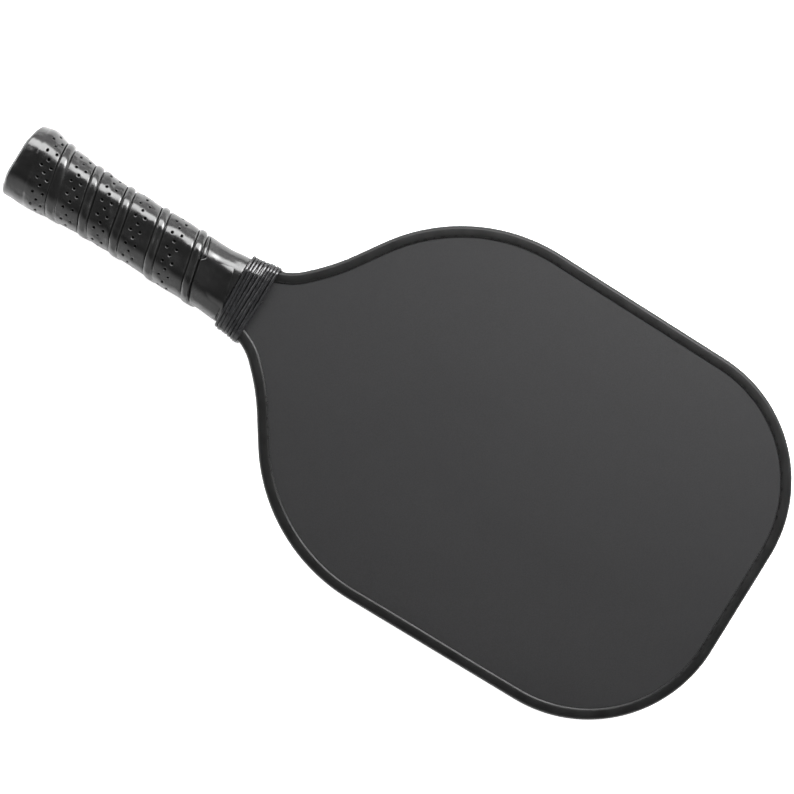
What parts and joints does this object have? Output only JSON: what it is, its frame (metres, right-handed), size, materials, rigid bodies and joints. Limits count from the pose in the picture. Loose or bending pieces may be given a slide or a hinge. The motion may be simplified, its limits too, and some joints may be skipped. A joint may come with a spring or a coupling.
{
  "type": "pickleball paddle",
  "caption": "Elongated sandwich paddle with a carbon face, rounded edge guard, bound throat and a spiral-wrapped perforated grip over a flared butt cap.",
  "frame": {"origin": "centre of the butt's end face, halfway through the paddle's thickness", "axes": "+Y along the handle to the tip of the head, +X across the head, +Z out of the front hitting face"},
  "size_m": [0.1926, 0.4029, 0.0352],
  "materials": {
    "core_plastic": "translucent extruded honeycomb",
    "bond_film": "cured adhesive film",
    "carbon_face": "raw carbon, fine peel-ply grit",
    "guard_plastic": "satin moulded",
    "bond_tape": "adhesive tape",
    "pallet_foam": "rigid foam",
    "cap_plastic": "moulded",
    "staple_steel": "wire",
    "badge_plastic": "blank, satin gloss",
    "grip_polyurethane": "tacky polyurethane, perforated, raised rib",
    "sleeve_rubber": "smooth, glossy",
    "winding_cord": "tight waxed cord"
  },
  "bodies": {
    "root": {"core_panel": "core_plastic", "front_bond_film": "bond_film", "back_bond_film": "bond_film", "front_face_sheet": "carbon_face", "back_face_sheet": "carbon_face", "edge_guard": "guard_plastic", "edge_guard_tape": "bond_tape", "front_handle_pallet": "pallet_foam", "back_handle_pallet": "pallet_foam", "front_pallet_bond": "bond_film", "back_pallet_bond": "bond_film", "butt_cap": "cap_plastic", "butt_cap_staples": "staple_steel", "butt_badge": "badge_plastic", "grip_backing_tape": "bond_tape", "grip_tape": "grip_polyurethane", "neck_sleeve": "sleeve_rubber", "throat_winding": "winding_cord"}
  },
  "joints": []
}
